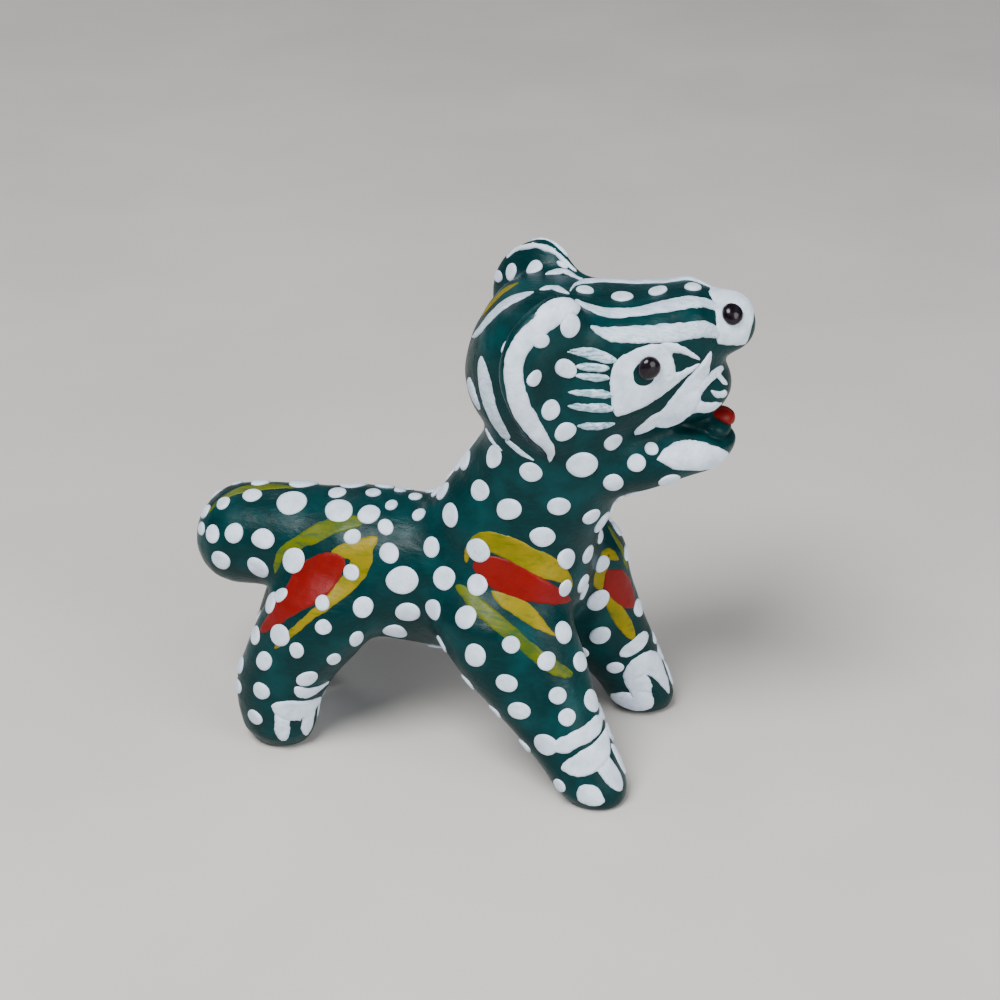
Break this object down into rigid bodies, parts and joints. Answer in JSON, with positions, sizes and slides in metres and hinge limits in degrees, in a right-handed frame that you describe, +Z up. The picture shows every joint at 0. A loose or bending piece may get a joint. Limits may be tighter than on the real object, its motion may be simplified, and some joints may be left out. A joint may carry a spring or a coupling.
{
  "type": "alebrije figure",
  "caption": "Small standing clay animal figure with cupped ears, a raised tail and a turned head, covered in thick painted dots, petals and strokes.",
  "frame": {"origin": "centre of the whole figure's outline seen from above, at the height of its soles", "axes": "+X towards the nose, +Y towards the figure's left side, +Z up"},
  "size_m": [0.0442, 0.02, 0.0418],
  "materials": {
    "green_clay": "satin paint on fired clay",
    "red_clay": "satin paint on fired clay",
    "white_paint": "thick satin paint",
    "red_paint": "satin paint",
    "yellow_paint": "satin paint, brush streaks",
    "olive_paint": "thin streaky satin paint",
    "green_paint": "satin paint",
    "black_bead": "gloss"
  },
  "bodies": {
    "root": {"torso": "green_clay", "neck": "green_clay", "head": "green_clay", "muzzle": "green_clay", "nose": "green_clay", "jaw": "green_clay", "tongue": "red_clay", "ear_right": "green_clay", "ear_left": "green_clay", "tail": "green_clay", "leg_front_right": "green_clay", "leg_front_left": "green_clay", "leg_hind_right": "green_clay", "leg_hind_left": "green_clay", "dots_torso": "white_paint", "dots_neck": "white_paint", "dots_tail": "white_paint", "dots_jaw": "white_paint", "dots_brow": "white_paint", "dots_face_right": "white_paint", "dots_face_left": "white_paint", "dots_leg_front_right": "white_paint", "dots_leg_front_left": "white_paint", "dots_leg_hind_right": "white_paint", "dots_leg_hind_left": "white_paint", "eye_patch_right": "white_paint", "eye_patch_left": "white_paint", "iris_right": "green_paint", "iris_left": "green_paint", "pupil_right": "black_bead", "pupil_left": "black_bead", "nose_patch": "white_paint", "nostril_right": "black_bead", "nostril_left": "black_bead", "brow_strokes_right": "white_paint", "brow_strokes_left": "white_paint", "lashes_right": "white_paint", "lashes_left": "white_paint", "ear_rim_right": "white_paint", "ear_rim_left": "white_paint", "ear_back_right": "white_paint", "ear_back_left": "white_paint", "cheek_strokes_right": "white_paint", "cheek_strokes_left": "white_paint", "chin_patch": "white_paint", "crown_yellow": "yellow_paint", "shoulder_red_right": "red_paint", "shoulder_red_left": "red_paint", "shoulder_yellow_right": "yellow_paint", "shoulder_yellow_left": "yellow_paint", "haunch_red_right": "red_paint", "haunch_red_left": "red_paint", "haunch_yellow_right": "yellow_paint", "haunch_yellow_left": "yellow_paint", "olive_right": "olive_paint", "olive_left": "olive_paint", "claws_front_right": "white_paint", "claws_front_left": "white_paint", "claws_hind_right": "white_paint", "claws_hind_left": "white_paint"}
  },
  "joints": []
}
